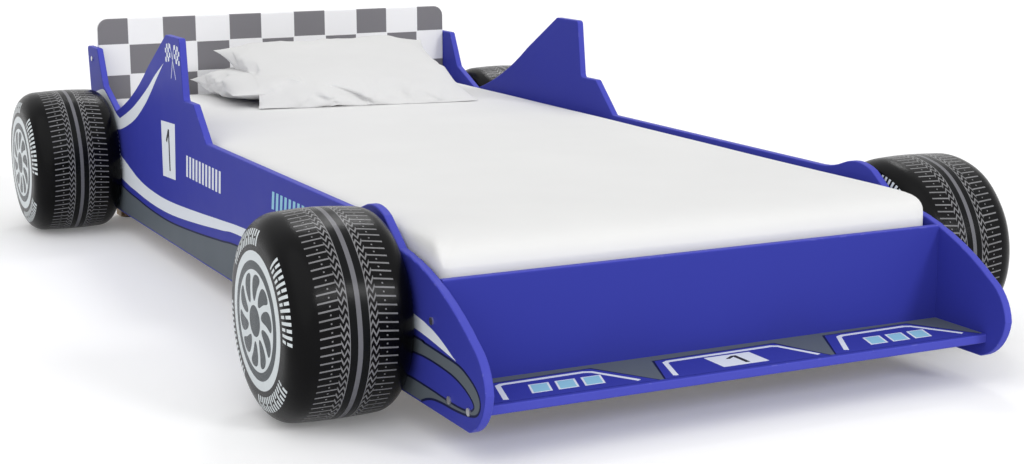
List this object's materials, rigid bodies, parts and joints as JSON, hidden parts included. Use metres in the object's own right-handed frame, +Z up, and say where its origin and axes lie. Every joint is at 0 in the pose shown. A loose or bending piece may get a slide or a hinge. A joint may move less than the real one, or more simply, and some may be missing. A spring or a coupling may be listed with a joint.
{
  "type": "car bed for children",
  "caption": "Low children's bed shaped as a racing car, with cut-out side boards, padded wheels, a chequered headboard, a slatted base, a mattress and loose pillows.",
  "frame": {"origin": "on the floor at the middle of the whole bed", "axes": "+X across the bed towards the sleeper's left when lying on the back with the head at +Y, +Y from the nose to the headboard, +Z up"},
  "size_m": [1.354, 2.259, 0.496],
  "materials": {
    "blue_board": "printed blue laminate, satin",
    "chequered_board": "printed grey and white chequers, satin",
    "slat_wood": "planed beech",
    "batten_wood": "planed pine",
    "dowel_wood": "fluted beech",
    "backing_wood": "raw plywood",
    "wheel_cover": "printed coated fabric, satin",
    "foam": "open-cell foam",
    "mattress_cover": "smooth white cotton",
    "pillow_cover": "smooth white cotton",
    "glide_plastic": "matt",
    "plated_steel": "zinc plated"
  },
  "bodies": {
    "frame": {"barrel_nuts": "plated_steel", "bearer_screws": "plated_steel", "centre_rail": "batten_wood", "cleat_screws": "plated_steel", "dowels": "dowel_wood", "floor_glides": "glide_plastic", "foot_cleat": "batten_wood", "footboard": "blue_board", "front_centre_leg": "batten_wood", "front_left_leg": "batten_wood", "front_left_wheel_backing": "backing_wood", "front_left_wheel_cover": "wheel_cover", "front_left_wheel_foam": "foam", "front_right_leg": "batten_wood", "front_right_wheel_backing": "backing_wood", "front_right_wheel_cover": "wheel_cover", "front_right_wheel_foam": "foam", "hanger_bolts": "plated_steel", "head_cleat": "batten_wood", "headboard": "chequered_board", "joining_plates": "plated_steel", "left_bearer": "batten_wood", "left_side_panel": "blue_board", "leg_bolts": "plated_steel", "middle_centre_leg": "batten_wood", "nose_shelf": "blue_board", "panel_bolts": "plated_steel", "plate_screws": "plated_steel", "rear_centre_leg": "batten_wood", "rear_left_leg": "batten_wood", "rear_left_wheel_backing": "backing_wood", "rear_left_wheel_cover": "wheel_cover", "rear_left_wheel_foam": "foam", "rear_right_leg": "batten_wood", "rear_right_wheel_backing": "backing_wood", "rear_right_wheel_cover": "wheel_cover", "rear_right_wheel_foam": "foam", "right_bearer": "batten_wood", "right_side_panel": "blue_board", "slat_01": "slat_wood", "slat_02": "slat_wood", "slat_03": "slat_wood", "slat_04": "slat_wood", "slat_05": "slat_wood", "slat_06": "slat_wood", "slat_07": "slat_wood", "slat_08": "slat_wood", "slat_09": "slat_wood", "slat_10": "slat_wood", "slat_11": "slat_wood", "slat_12": "slat_wood", "slat_13": "slat_wood", "slat_14": "slat_wood", "slat_screws": "plated_steel", "tee_nuts": "plated_steel", "wheel_bolts": "plated_steel"},
    "mattress": {"mattress": "mattress_cover"},
    "lower_pillow": {"lower_pillow": "pillow_cover"},
    "upper_pillow": {"upper_pillow": "pillow_cover"}
  },
  "joints": [
    {"name": "mattress_lift", "type": "slide", "parent": "frame", "child": "mattress", "axis": [0, 0, 1], "range_m": [0, 0.4]},
    {"name": "lower_pillow_lift", "type": "slide", "parent": "mattress", "child": "lower_pillow", "axis": [0, 0, 1], "range_m": [0, 0.3]},
    {"name": "upper_pillow_lift", "type": "slide", "parent": "lower_pillow", "child": "upper_pillow", "axis": [0, 0, 1], "range_m": [0, 0.3]}
  ]
}
